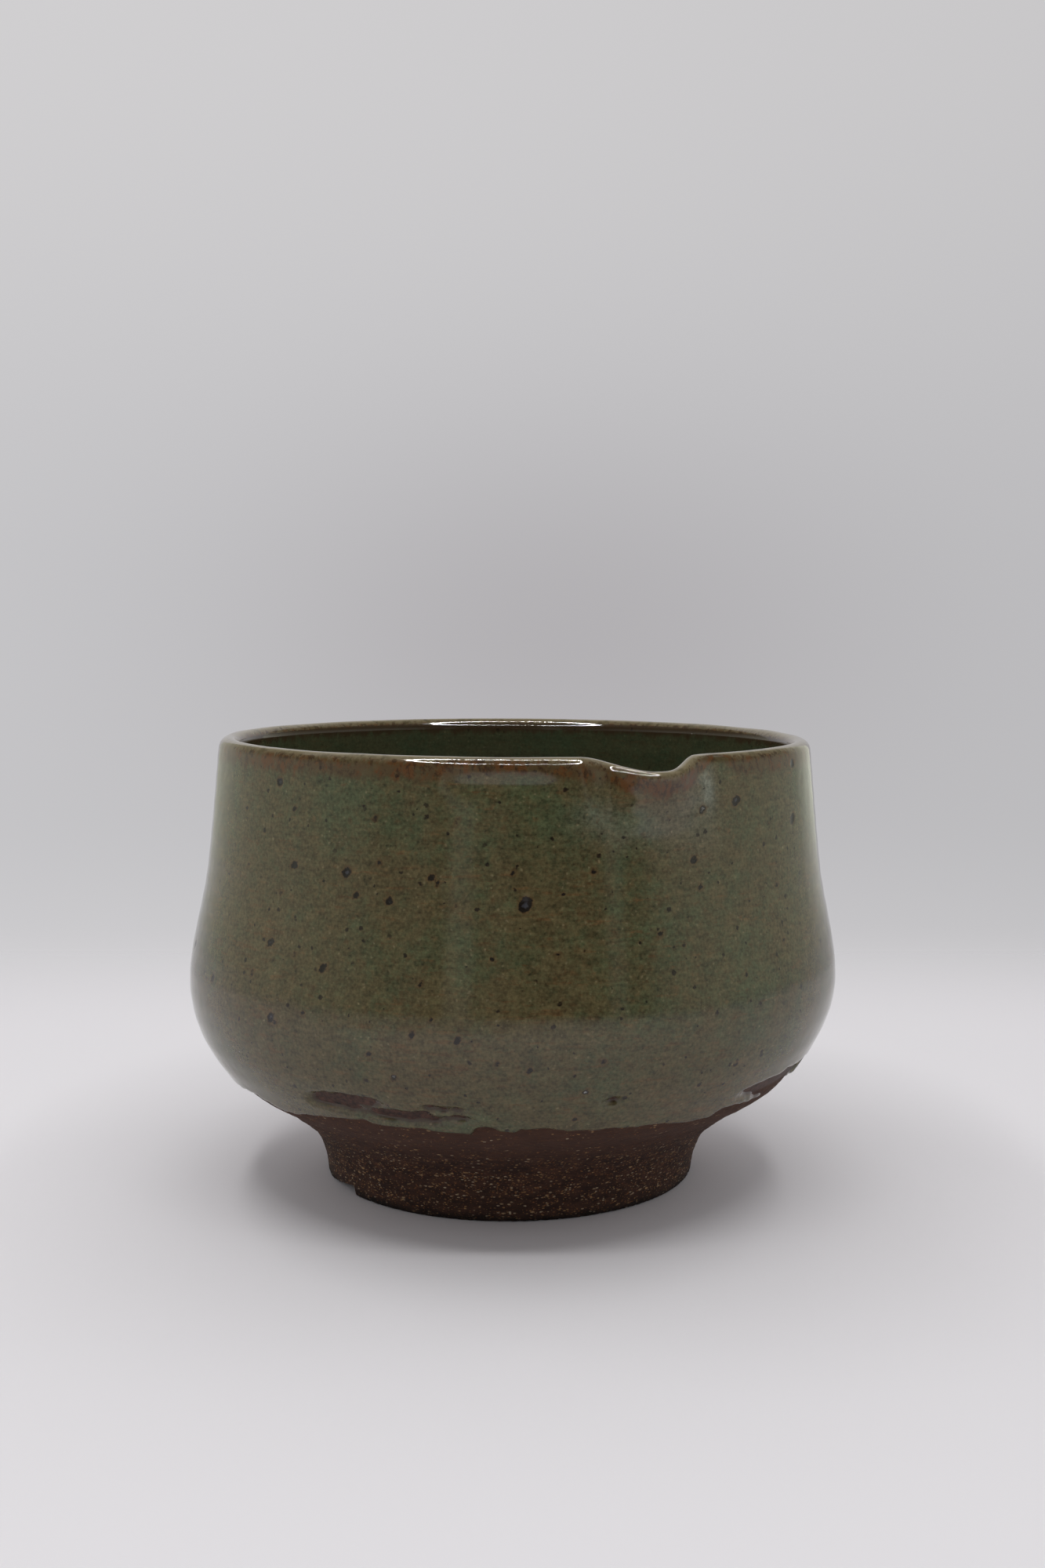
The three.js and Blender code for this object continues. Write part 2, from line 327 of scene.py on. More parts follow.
# Lower edge of the outside glaze, and the places where it crawled back: angles in degrees from the
# spout, heights and sizes in mm
edge = {
    "line": [(-170, 20.8), (-158, 20.9), (-150, 22.0), (-143, 21.3), (-128, 20.6), (-113, 21.0),
             (-110, 22.0), (-105, 21.1), (-92, 20.7), (-84, 21.3), (-78.6, 21.5), (-70.6, 20.0),
             (-58.7, 21.3), (-50, 22.1), (-48.2, 21.4), (-39, 21.5), (-34.6, 21.1), (-30.5, 20.9),
             (-29.6, 22.4), (-27.0, 22.5), (-25.6, 21.8), (-23.0, 21.4), (-22, 22.2), (-17.0, 22.1),
             (-13.8, 21.4), (-7, 21.4), (2.2, 21.1), (10.2, 20.4), (15.0, 20.5), (17.2, 21.7),
             (21.5, 21.6), (28, 21.0), (40, 20.6), (55, 20.8), (62, 20.9), (80, 20.7), (92, 21.2),
             (96, 22.3), (100, 21.3), (118, 20.6), (131, 21.7), (142, 21.1), (160, 20.6), (168, 21.4),
             (171, 22.2), (175, 21.2)],
    "roll": 1.1,           # width of the rounded edge
    "crawls": [(-56.3, 25.4, 5.6, 2.5), (-52.8, 25.8, 6.0, 2.5), (-49.0, 26.0, 5.6, 1.9),
               (-50.8, 24.6, 3.0, 1.4), (-45.0, 24.2, 6.0, 1.6), (-40.8, 24.0, 7.0, 1.8),
               (25.5, 24.2, 6.0, 2.2), (30.0, 23.5, 8.0, 3.9), (35.0, 23.1, 9.0, 6.0),
               (40.0, 23.0, 9.0, 6.2), (45.0, 23.1, 7.0, 6.0), (49.0, 23.4, 4.0, 4.0),
               (147.0, 25.4, 8.0, 2.6), (152.0, 24.6, 5.0, 1.8), (-126.0, 24.9, 6.0, 2.2),
               (92.0, 26.0, 4.0, 1.8)],
    "pinholes": [(-36.9, 26.1, 0.6), (-36.6, 23.6, 0.55), (-34.6, 25.8, 0.55), (-33.6, 24.4, 0.6),
                 (-32.4, 26.0, 0.5), (-31.4, 24.3, 0.55), (-6.8, 27.3, 0.6), (-38.0, 24.9, 0.55)],
    "pinholeLong": 1.8,    # a pinhole's length by its width
    "ragged": [(0.13, 3.2, 22), (0.05, 1.9, 23)],   # height, size and seed of the ripples in every outline
    "join": 0.25,          # how softly neighbouring bare places run together
    "roughTo": 23.4,       # bare clay shows widely up to this height
    "showsTo": 29.0,       # and in single places up to this one
}


def bareDistance(angle, length):
    # Distance in mm of each point from the nearest bare clay, with a ragged outline: from the lower
    # edge and from each crawl, an ellipse, joined softly as -k log(sum of exp(-distance / k))
    degrees = fromSpout(angle)
    join = edge["join"]
    height = np.interp(degrees, *zip(*edge["line"]), period=360.0)
    clear = length - side.lengthAt(height)
    ragged = sum(tall * ripples(angle, length, size, seed) for tall, size, seed in edge["ragged"])
    pinholes = [(at, level, edge["pinholeLong"] * wide, wide) for at, level, wide in edge["pinholes"]]
    share = np.exp(-clear / join)
    for at, level, long, wide in edge["crawls"] + pinholes:
        middle = side.lengthAt(level)
        radius = side.at(middle)[0]
        away = np.radians((degrees - at + 180.0) % 360.0 - 180.0) * radius
        reach = np.hypot(away / (long / 2), (length - middle) / (wide / 2))
        share = share + np.exp(-np.minimum(reach - 1.0, 9.0) * wide / 2 / join)
    return -join * np.log(share) + ragged


# Iron spots that boiled through the glaze: angle from the spout, height and radius in mm
iron = {
    # spots whose heart gets a painted white glint
    "glintSpots": [(-42, 31.5), (-12, 29.5), (9, 73)],
    "placed": [(-22, 59, 1.0), (-52, 63, 0.75), (-44, 59, 0.6), (-55, 47.5, 0.65), (-37, 63, 0.5),
               (-50, 59.5, 0.5), (-42, 31.5, 0.5), (-12, 29.5, 0.5), (9, 73, 0.6), (17, 74, 0.8),
               (35, 69.5, 0.85), (36.5, 79, 0.7), (7, 65, 0.6), (-32, 38, 0.55), (-39, 38.5, 0.5),
               (-46, 65, 0.4), (-36, 62, 0.35), (-33, 58.5, 0.35), (-61, 49, 0.35), (-38, 46.5, 0.35),
               (-58, 40, 0.4), (-64, 38, 0.4), (-46, 35, 0.4), (-26, 34.5, 0.4), (-21, 33.5, 0.45),
               (-10, 34.5, 0.4), (-27, 50.5, 0.35), (-17, 51, 0.35), (0, 53.5, 0.45), (4, 51.5, 0.3),
               (-11, 64, 0.35), (-13, 57.5, 0.3), (8, 60.5, 0.4), (20, 62.5, 0.3), (23, 52.5, 0.3),
               (27, 49.5, 0.35), (16, 45.5, 0.35), (15, 31, 0.4), (-66, 58.5, 0.35), (-76, 62, 0.3),
               (-24, 64, 0.3), (-16, 60.5, 0.3), (27, 59, 0.4), (-33, 72, 0.35), (-47, 72, 0.4),
               (-64, 72.5, 0.4), (-78, 71.5, 0.35), (-13, 24.5, 0.35), (-36, 41, 0.3), (-44, 66, 0.25)],
    "strewn": 150,
    "strewnSeed": 31,
    "strewnOver": (60.0, 300.0),
    "strewnSize": (0.25, 0.75),    # smallest radius, and what chance adds at most
    "lowest": 24.0,
    "spread": (1.15, 0.05),        # a spot's radius is this much times its stated one and so much more
    "long": (1.05, 1.6),           # how much longer than wide
    "tilt": (0.3, 1.1),            # and turned by how much
    "farthest": 3.0,               # distances from a spot are cut off here
    # reach of the painted glint
    "glintReach": 1.2,
    "pit": 0.16,                   # depth of the pit in a spot and height of its rim, by its radius
    "rim": 0.05,
}


def turnAbout(angle):
    # Matrix that takes a place to its parts across, inwards and up, as seen from outside at an angle
    c, s = math.cos(angle), math.sin(angle)
    return np.array([[c, -s, 0.0], [s, c, 0.0], [0.0, 0.0, 1.0]])


def layer(angle, length, offset):
    # Places of points that stand off the clay's side by an offset, after the hand's work
    r, z, nr, nz = side.at(length)
    return worked(angle, r + nr * offset, z + nz * offset)


def spotField(angle, length, places):
    # Distance in mm of each point from the rim of the nearest iron spot, that spot's radius, and
    # whether a painted white glint sits in its heart
    low = side.lengthAt(iron["lowest"])
    draw = np.random.default_rng(iron["strewnSeed"])
    spots = [(math.radians(at), side.lengthAt(level), size) for at, level, size in iron["placed"]]
    for _ in range(iron["strewn"]):
        at = draw.uniform(*iron["strewnOver"])
        size = iron["strewnSize"][0] + iron["strewnSize"][1] * draw.random() ** 4
        spots.append((math.radians(at), draw.uniform(low, side.crest - 1.0), size))
    nearest = np.full(angle.shape, iron["farthest"])
    size = np.zeros(angle.shape)
    for at, where, radius in spots:
        radius = iron["spread"][0] * radius + iron["spread"][1]
        long = draw.uniform(*iron["long"])
        tilt = draw.uniform(*iron["tilt"])
        centre = layer(np.array(at), where, pot["glaze"])
        across, inwards, up = ((places - centre) @ turnAbout(at)).transpose(2, 0, 1)
        gap = np.sqrt((across * math.cos(tilt) + up * math.sin(tilt)) ** 2 / long
                      + (up * math.cos(tilt) - across * math.sin(tilt)) ** 2 * long + inwards**2) - radius
        closer = gap < nearest
        nearest = np.where(closer, gap, nearest)
        size = np.where(closer, radius, size)
    glintShares = np.zeros(angle.shape)
    for at, level in iron["glintSpots"]:
        centre = layer(np.radians(at), side.lengthAt(level), pot["glaze"])
        glintShares = glintShares + (np.linalg.norm(places - centre, axis=-1) < iron["glintReach"])
    return nearest, size, glintShares


# How the skins of neighbouring pieces meet, in mm
skin = {
    "tuck": 0.6,       # length over which the bowl and the ring dip where they join
    "lap": 1.5,        # how far the two coats pass each other over the crest of the lip
    "sink": 0.12,      # how deep a skin dips under its neighbour
    "back": -0.3,      # where a coat's hidden back lies, inside the clay's skin
    "backRows": 6,     # a back has one row for this many of the face's
}


def dip(past, span):
    # How deep a skin dips under its neighbour: sink times the square of the share of the span passed
    return skin["sink"] * np.clip(past / span, 0.0, 1.0) ** 2


def backOf(lengths):
    # A coat's back as lengths and places: the rows of its face in reverse, thinned out
    angle, length = np.meshgrid(columnAngles(), lengths[::-1][:: skin["backRows"]])
    return length, layer(angle, length, skin["back"])


def makeClayBowl():
    # Wall and floor of bare clay as one closed skin, finest where it shows
    ring = side.lengthAt(pot["footHeight"])
    tuck = skin["tuck"]
    rough = side.lengthAt(edge["roughTo"])
    shows = side.lengthAt(edge["showsTo"])
    lip = (side.crest - 4.0, side.crest + 4.0)
    lengths = rowLengths((ring - tuck, ring + tuck, 0.2), (ring + tuck, rough, 0.35), (rough, shows, 0.9),
                         (shows, lip[0], 5.0), (*lip, 1.2), (lip[1], side.end, 5.0))
    angle, length = np.meshgrid(columnAngles(), lengths)
    bare = 1.0 - steps(shows - 3.0, shows, length)
    unglazed = bareness(angle, length)
    relief = clayRelief(angle, length) * bare + bareRelief(angle, length) * bare * unglazed
    offset = relief - dip(ring - length, tuck)
    outer = layer(angle, length, offset)
    outer[-1] = outer[-1].mean(axis=0)
    # Underside inside the ring: a spiral of the turning tool round a low nipple, and under the ring
    # a few rows that nothing shows of
    recess = pot["outer"][0][0] - pot["footWidth"] + 0.6
    hidden = np.linspace(recess, side.at(ring - tuck)[0] - 0.3, 5)
    radii = np.concatenate([np.linspace(0.0, recess, 46), hidden[1:]])[:, None]
    around = columnAngles()[None, :]
    spiral = radii / marks["underPitch"] - around / (2 * math.pi)
    spiral = marks["underRing"] * np.sin(2 * math.pi * spiral)
    nipple = marks["nipple"] * np.clip(1.0 - radii / marks["nippleRadius"], 0.0, 1.0) ** 1.5
    grain = marks["rough"] * ripples(around, radii, 1.3, 14, 1.6, 60)
    level = pot["footHeight"] - nipple + (spiral + grain) * steps(0.0, 3.0, radii)
    under = worked(around, radii + 0.0 * around, level)
    under[0] = under[0].mean(axis=0)
    grid = np.concatenate([under, outer])
    flash = np.concatenate([np.zeros(under.shape[:2]), 1.0 - unglazed])
    low = np.concatenate([np.ones(under.shape[:2]), 1.0 - steps(9.0, 17.0, outer[..., 2])])
    return writeMesh("clayBowl", grid, True, {"flash": flash, "grog": low})


def bareness(angle, length):
    # 1 on the clay that the glaze never covered, 0 where it did
    return steps(0.2, -0.3, bareDistance(angle, length)) * (1.0 - steps(22.4, 23.2, side.at(length)[1]))


# The foot ring's edges, and the cut across it: angle where it is deepest, length and depth
footEdge = {"bevel": 0.6, "chip": 0.25, "chipSize": 3.0, "chipHeight": 0.9}
nick = {"angle": -77.5, "length": 13.0, "depth": 1.9, "rough": 0.05}


def makeFootRing():
    # Turned ring as a closed skin: up its outer side, in over its top, down its inner side and out
    # over its lower face, with its edges rounded and the cut pressed into the lower face
    top = side.lengthAt(pot["footHeight"])
    tuck = skin["tuck"]
    lengths = rowLengths((1.0, top - tuck, 0.28), (top - tuck, top + tuck, 0.2))
    r, z, nr, nz = side.at(lengths)
    outerLine = np.stack([r, z], 1) - np.stack([nr, nz], 1) * dip(lengths - top, tuck)[:, None]
    inner = pot["outer"][0][0] - pot["footWidth"]
    topLine = np.linspace(outerLine[-1] - [1.0, 0.0], [inner - pot["footTaper"], outerLine[-1][1]], 5)
    innerLine = np.linspace([inner - pot["footTaper"], outerLine[-1][1] - 0.2], [inner, 0.9], 26)
    turn = np.linspace(0.0, math.pi / 2, 7)
    bevel = footEdge["bevel"]
    innerBevel = np.stack([inner + bevel - bevel * np.cos(turn), bevel - bevel * np.sin(turn)], 1)
    outerRadius = outerLine[0][0] - 0.02
    bottom = np.linspace([inner + bevel, 0.0], [outerRadius - bevel, 0.0], 20)[1:-1]
    outerBevel = np.stack([outerRadius - bevel + bevel * np.sin(turn), bevel - bevel * np.cos(turn)], 1)
    profile = np.concatenate([outerLine, topLine, innerLine, innerBevel[1:], bottom, outerBevel[:-1]])
    normal = normalsOf(np.concatenate([profile[-1:], profile, profile[:1]]))[1:-1]
    along = np.concatenate([[0.0], np.cumsum(np.linalg.norm(np.diff(profile, axis=0), axis=1))])
    angle, length = np.meshgrid(columnAngles(), along)
    shared = clayRelief(angle, lengths.min() + length) + bareRelief(angle, lengths.min() + length)
    onOuter = (np.arange(len(profile)) < len(outerLine))[:, None]
    free = np.minimum(0.0, bareRelief(angle, length) - 0.02)
    offset = np.where(onOuter, shared, free)
    chips = np.clip(ripples(angle, length, footEdge["chipSize"], 41) - 0.9, 0.0, 1.0)
    chips = bell(profile[:, 1], 0.0, footEdge["chipHeight"])[:, None] * chips
    offset = offset - footEdge["chip"] * chips
    radius = profile[:, :1] + normal[:, :1] * offset
    level = np.maximum(profile[:, 1:] + normal[:, 1:] * offset, 0.0)
    # The cut: below a plane that falls from its steep end, the clay is lifted to the plane
    steep = math.radians(nick["angle"])
    away = -(radius * np.sin(angle) * math.cos(steep) - radius * np.cos(angle) * math.sin(steep))
    faces = np.cos(angle - steep) > 0.5
    fall = nick["depth"] * (1.0 - away / nick["length"]) * steps(-0.12, 0.12, away)
    rough = nick["rough"] * ripples(angle, length, 2.0, 43)
    cut = faces & (away < nick["length"]) & (fall > 0.0)
    level = np.where(cut, np.maximum(level, fall + rough * (fall > 0.2)), level)
    grid = worked(angle, radius, level)
    return writeMesh("footRing", grid, False, {"flash": 0.0, "grog": 1.0})


# How the glaze's thickness changes: by a share of itself over its swellings and over the crest, and by
# a bead in mm that stands a little behind its lower edge
coating = {
    "swell": 0.035,
    "swellSize": 22.0,
    "thinned": 0.1,
    "thinnedOver": 2.0,
    "bead": 0.1,
    "beadBehind": 1.6,
    "beadWide": 1.2,
    "pool": 0.25,          # how much deeper it stands in the middle of the floor
    "poolWide": 16.0,
}


def glazeDepth(angle, length, clear):
    # Thickness of the glaze in mm: an even coat that swells and thins a little, runs thin over the
    # crest of the lip, and ends in a rounded roll at the bare clay, past which it dips under it
    swell = coating["swell"] * ripples(angle, length, coating["swellSize"], 51, 0.8)
    even = pot["glaze"] * (1.0 + swell)
    crest = 1.0 - coating["thinned"] * bell(length, side.crest, coating["thinnedOver"])
    rounded = np.sin(math.pi / 2 * np.clip(clear / edge["roll"], 0.0, 1.0))
    bead = coating["bead"] * bell(clear, coating["beadBehind"], coating["beadWide"])
    depth = (even * crest + bead) * rounded
    return np.where(clear > 0.0, depth, -skin["sink"] * np.clip(-clear / 0.3, 0.0, 1.0))


def patchwork(angle, length, patches):
    # Sum of soft patches, each the amount times exp(-(away / wide)^2 - (up / tall)^2)
    r, z = side.at(length)[:2]
    degrees = fromSpout(angle)
    total = np.zeros(angle.shape)
    for at, level, wide, tall, amount in patches:
        away = np.radians((degrees - at + 180.0) % 360.0 - 180.0) * r
        total = total + amount * np.exp(-((away / wide) ** 2) - ((z - level) / tall) ** 2)
    return total


# Broad colour of the glaze as soft patches: angle, height, spread round and spread up in mm, and amount
tone = {
    "swell": 0.2,      # how strongly it also changes at random
    "swellSize": 34.0,
    # Patches of painted reflection, pale greenish grey, under the spout and along its right flank
    "paintedReflection": [(-11.5, 73.0, 3.0, 2.5, 0.2), (-7.0, 71.5, 6.0, 3.5, 0.25), (2.0, 70.5, 6.0, 4.0, 0.17),
             (8.0, 74.5, 3.5, 2.5, 0.3), (8.5, 69.5, 4.5, 4.0, 0.2), (10.6, 76.0, 1.4, 3.0, 0.8),
             (9.2, 78.2, 1.5, 1.6, 0.5)],
    # From -1, brown, to 1, green
    "patches": [(-1.0, 76.3, 9.0, 2.6, -0.8), (-48.0, 74.0, 13.0, 4.5, 0.65),
                (-14.0, 73.0, 9.0, 4.0, 0.45), (-30.0, 70.0, 40.0, 6.0, 0.15),
                (-40.0, 63.5, 22.0, 1.4, -0.5), (-22.0, 60.0, 14.0, 4.0, -0.3),
                (-26.0, 57.0, 14.0, 1.2, -0.35), (18.0, 62.0, 18.0, 14.0, 0.35),
                (9.0, 48.0, 15.0, 9.0, -0.3), (-46.0, 38.0, 7.0, 6.0, -0.35),
                (-68.0, 50.0, 12.0, 22.0, -0.3), (-20.0, 26.0, 60.0, 6.0, -0.2)],
}


def toneOf(angle, length):
    # The patches from brown to green, with broad random swellings added
    swell = tone["swell"] * ripples(angle, length, tone["swellSize"], 61, 1.0)
    return swell + patchwork(angle, length, tone["patches"])


# Where the brown band reaches further down, in the spout, and less far, on its right flank and over
# the dent: angle, width and change of the factor below, and the change over the dent
band = {"bells": [(1.0, 7.0, -0.3), (12.5, 3.0, 1.6)], "dent": 0.4}


def bandReach(angle):
    # Factor on the distance from the crest of the lip: 1 and the sum of the changes
    degrees = fromSpout(angle)
    factor = 1.0
    for at, wide, change in band["bells"]:
        factor = factor + change * bell(degrees, at, wide)
    return factor + band["dent"] * dentSpan(degrees)


def joined(onFace, onBack, back):
    # Values on a coat's face followed by those on its back
    return np.concatenate([onFace, np.broadcast_to(onBack, back.shape[:2])])


def makeOutsideGlaze():
    # Outside coat as a closed skin: its face up from under the bare clay and over the crest, where it
    # sinks under the inside coat, and its back down through the clay's skin
    low = side.lengthAt(19.0)
    fine = side.lengthAt(28.6)
    lip = side.crest - 6.0
    past = skin["lap"]
    lengths = rowLengths((low, fine, 0.27), (fine, lip, 0.85), (lip, side.crest + past, 0.3))
    angle, length = np.meshgrid(columnAngles(), lengths)
    depth = glazeDepth(angle, length, bareDistance(angle, length))
    gap, size, glintShares = spotField(angle, length, layer(angle, length, depth))
    pit = iron["pit"] * size * bell(gap, -size, 0.75 * size + 0.05) * steps(0.45, 0.8, size)
    rim = iron["rim"] * size * bell(gap, 0.0, 0.3)
    relief = depth + clayRelief(angle, length) - dip(length - side.crest, past) - pit + rim
    backLength, back = backOf(lengths)
    values = {
        "fromCrest": ((length - side.crest) * bandReach(angle), backLength - side.crest),
        "depth": (depth, 0.0),
        "spot": (gap, iron["farthest"]),
        "spotSize": (size, 0.0),
        "paintedGlint": (glintShares, 0.0),
        "tone": (toneOf(angle, length), 0.0),
        "paintedReflection": (patchwork(angle, length, tone["paintedReflection"]), 0.0),
    }
    values = {key: joined(onFace, onBack, back) for key, (onFace, onBack) in values.items()}
    grid = np.concatenate([layer(angle, length, relief), back])
    return writeMesh("outsideGlaze", grid, False, values)


def makeInsideGlaze():
    # Inside coat as a closed skin: its back from the middle of the floor out and up through the clay's
    # skin, then its face from under the outside coat over the crest, down and in to the middle
    lip = side.crest + 6.0
    past = skin["lap"]
    lengths = rowLengths((side.crest - past, lip, 0.3), (lip, side.end, 0.95))
    angle, length = np.meshgrid(columnAngles(), lengths)
    fromMiddle = side.end - length
    spiral = fromMiddle / marks["innerPitch"] + angle / (2 * math.pi)
    fingers = marks["innerRing"] * np.sin(2 * math.pi * spiral) * steps(2.0, 12.0, fromMiddle)
    fingers = fingers * (0.25 + 0.75 * steps(75.0, 25.0, fromMiddle))
    pooled = coating["pool"] * bell(fromMiddle, 0.0, coating["poolWide"])
    wellGlazed = np.full(angle.shape, 9.0)
    depth = glazeDepth(angle, length, wellGlazed) + pooled
    relief = depth + clayRelief(angle, length) * steps(0.0, 8.0, fromMiddle) + fingers
    face = layer(angle, length, relief - dip(side.crest - length, past))
    face[-1] = face[-1].mean(axis=0)
    backLength, back = backOf(lengths)
    back[0] = back[0].mean(axis=0)
    rest = np.zeros(back.shape[:2])
    values = {
        "fromCrest": np.concatenate([backLength - side.crest, length - side.crest]),
        "depth": np.concatenate([rest, depth]),
        "tone": np.concatenate([rest, toneOf(angle, length)]),
    }
    return writeMesh("insideGlaze", np.concatenate([back, face]), True, values)


def mathNode(operation, swapped=False):
    # Method that adds a Math node for a wire and another value, which may come the other way round
    def method(wire, other):
        pair = (other, wire) if swapped else (wire, other)
        return wire.finish.add("Math", {"operation": operation}, dict(enumerate(pair)))

    return method


class Wire:
    # One output among the nodes of a finish. Arithmetic on it adds Math nodes.
    def __init__(self, finish, socket):
        self.finish = finish
        self.socket = socket

    __add__ = mathNode("ADD")
    __radd__ = mathNode("ADD", True)
    __sub__ = mathNode("SUBTRACT")
    __rsub__ = mathNode("SUBTRACT", True)
    __mul__ = mathNode("MULTIPLY")
    __rmul__ = mathNode("MULTIPLY", True)
    __truediv__ = mathNode("DIVIDE")
    power = mathNode("POWER")
    most = mathNode("MAXIMUM")

    def size(self):
        # The value without its sign
        return self.finish.add("Math", {"operation": "ABSOLUTE"}, {0: self})


class Finish:
    # Nodes under construction, of a material or of the world, which is their owner
    def __init__(self, owner):
        self.owner = owner
        owner.use_nodes = True
        self.tree = owner.node_tree
        self.tree.nodes.clear()

    def add(self, kind, settings=None, values=None, out=0):
        # Adds a node: its settings come first, then the values or links of its sockets
        node = self.tree.nodes.new("ShaderNode" + kind)
        for key, value in (settings or {}).items():
            setattr(node, key, value)
        for key, value in (values or {}).items():
            if isinstance(value, Wire):
                self.tree.links.new(value.socket, node.inputs[key])
            else:
                node.inputs[key].default_value = value
        return Wire(self, node.outputs[out]) if len(node.outputs) else None

    def attribute(self, name):
        # Value that the mesh carries at each point
        return self.add("Attribute", {"attribute_name": name}, out="Fac")

    def coordinates(self, stretch=(1.0, 1.0, 1.0), warp=0.0):
        # Object coordinates in millimetres, stretched, and pushed about by a fine noise times warp
        place = self.add("TexCoord", out="Object")
        scale = [1000.0 * s for s in stretch]
        place = self.add("VectorMath", {"operation": "MULTIPLY"}, {0: place, 1: scale})
        if warp:
            push = self.add("TexNoise", {}, {"Vector": place, "Scale": 1.6, "Detail": 2.0}, "Color")
            values = {0: push, 1: (2.0 * warp,) * 3, 2: place}
            place = self.add("VectorMath", {"operation": "MULTIPLY_ADD"}, values)
        return place

    def noise(self, size, detail, rough, stretch=(1.0, 1.0, 1.0)):
        # Noise with features about one size long in mm
        values = {"Vector": self.coordinates(stretch), "Scale": 1.0 / size}
        values |= {"Detail": detail, "Roughness": rough}
        return self.add("TexNoise", {"noise_dimensions": "3D"}, values, "Fac")

    def cells(self, size, stretch=(1.0, 1.0, 1.0), warp=0.0):
        # Distance in mm to the nearest of points strewn about one size apart, and two random numbers each
        values = {"Vector": self.coordinates(stretch, warp), "Scale": 1.0 / size}
        near = self.add("TexVoronoi", {"feature": "F1"}, values, "Distance")
        colour = Wire(self, near.socket.node.outputs["Color"])
        parts = self.add("SeparateColor", {}, {"Color": colour}, "Red")
        return near * size, parts, Wire(self, parts.socket.node.outputs["Green"])

    def step(self, low, high, value):
        # Smooth step of a value from 0 at low to 1 at high
        values = {"Value": value, "From Min": low, "From Max": high, "To Min": 0.0, "To Max": 1.0}
        return self.add("MapRange", {"interpolation_type": "SMOOTHSTEP"}, values)

    def blend(self, factor, first, second):
        # Mix of two colours
        pair = {6: first, 7: second, 0: factor}
        pair = {key: (*value, 1.0) if isinstance(value, tuple) else value for key, value in pair.items()}
        return self.add("Mix", {"data_type": "RGBA"}, pair, 2)

    def scaled(self, colour, amount):
        # A colour made lighter or darker by a factor
        return self.add("VectorMath", {"operation": "SCALE"}, {0: colour, "Scale": amount})

    def bump(self, height, distance, strength):
        # Normal as if the surface rose by the height times a distance in mm
        return self.add("Bump", {}, {"Height": height, "Distance": distance * mm, "Strength": strength})

    def surface(self, shader, output="OutputMaterial"):
        # Ends the nodes in a shader and gives back what they belong to
        self.add(output, {}, {"Surface": shader})
        return self.owner


# Colours of the glaze and the clay, as linear red, green and blue
glazeColours = {
    "olive": (0.090, 0.072, 0.033),
    "green": (0.065, 0.078, 0.037),
    "brown": (0.110, 0.062, 0.026),
    "rim": (0.084, 0.052, 0.023),
    # Painted highlight: pale colours for the crest of the lip, outside and inside
    "paintedCrestHighlight": (0.200, 0.165, 0.095),
    "paintedCrestHighlightInside": (0.150, 0.105, 0.065),
    "rust": (0.112, 0.044, 0.014),
    "thin": (0.040, 0.020, 0.010),
    "rimInside": (0.045, 0.027, 0.014),
    "pale": (0.22, 0.18, 0.10),
    "speck": (0.014, 0.009, 0.006),
    "spot": (0.008, 0.006, 0.005),
    "spotHeart": (0.070, 0.072, 0.085),
    # painted glint
    "paintedGlint": (0.42, 0.42, 0.40),
    # partly painted shade: the inside coat is darkened towards this green
    "deep": (0.029, 0.047, 0.027),
    # painted reflection by the spout
    "paintedReflection": (0.155, 0.163, 0.124),
}


# Noises in the glaze: size in mm, detail, roughness, and stretch along x, y and z
glazeNoises = {
    "broad": (9.0, 3.0, 0.55),
    "mottle": (2.6, 4.0, 0.62),
    "fine": (0.55, 3.0, 0.6),
    "streak": (9.0, 4.0, 0.7, (1.0, 1.0, 8.0)),
    "wisps": (3.2, 4.0, 0.7, (0.8, 0.8, 7.0)),
    "flecked": (0.8, 3.0, 0.65, (1.0, 1.0, 1.4)),
    "lined": (1.4, 4.0, 0.7, (0.35, 0.35, 2.2)),
    "grain": (2.4, 4.0, 0.75, (1.0, 1.0, 1.5)),
    "drips": (2.2, 3.0, 0.65, (1.0, 1.0, 0.45)),
    "patchy": (1.9, 4.0, 0.7, (1.0, 1.0, 0.6)),
    "clots": (1.1, 4.0, 0.7, (1.0, 1.0, 0.7)),
}

# What sets the two coats apart: how strong their pale grains, dark specks and uneven shade are, how far
# from the crest of the lip the brown band ends and from where it is full, and the colour of the painted
# highlight on the crest
coats = {
    "outside": {"pale": 0.5, "dark": 0.9, "shade": 1.0, "bandEnds": 4.3, "bandFull": 2.7,
                "crest": "paintedCrestHighlight"},
    "inside": {"pale": 0.2, "dark": 0.3, "shade": 0.45, "bandEnds": 3.2, "bandFull": 1.8,
               "crest": "paintedCrestHighlightInside"},
}


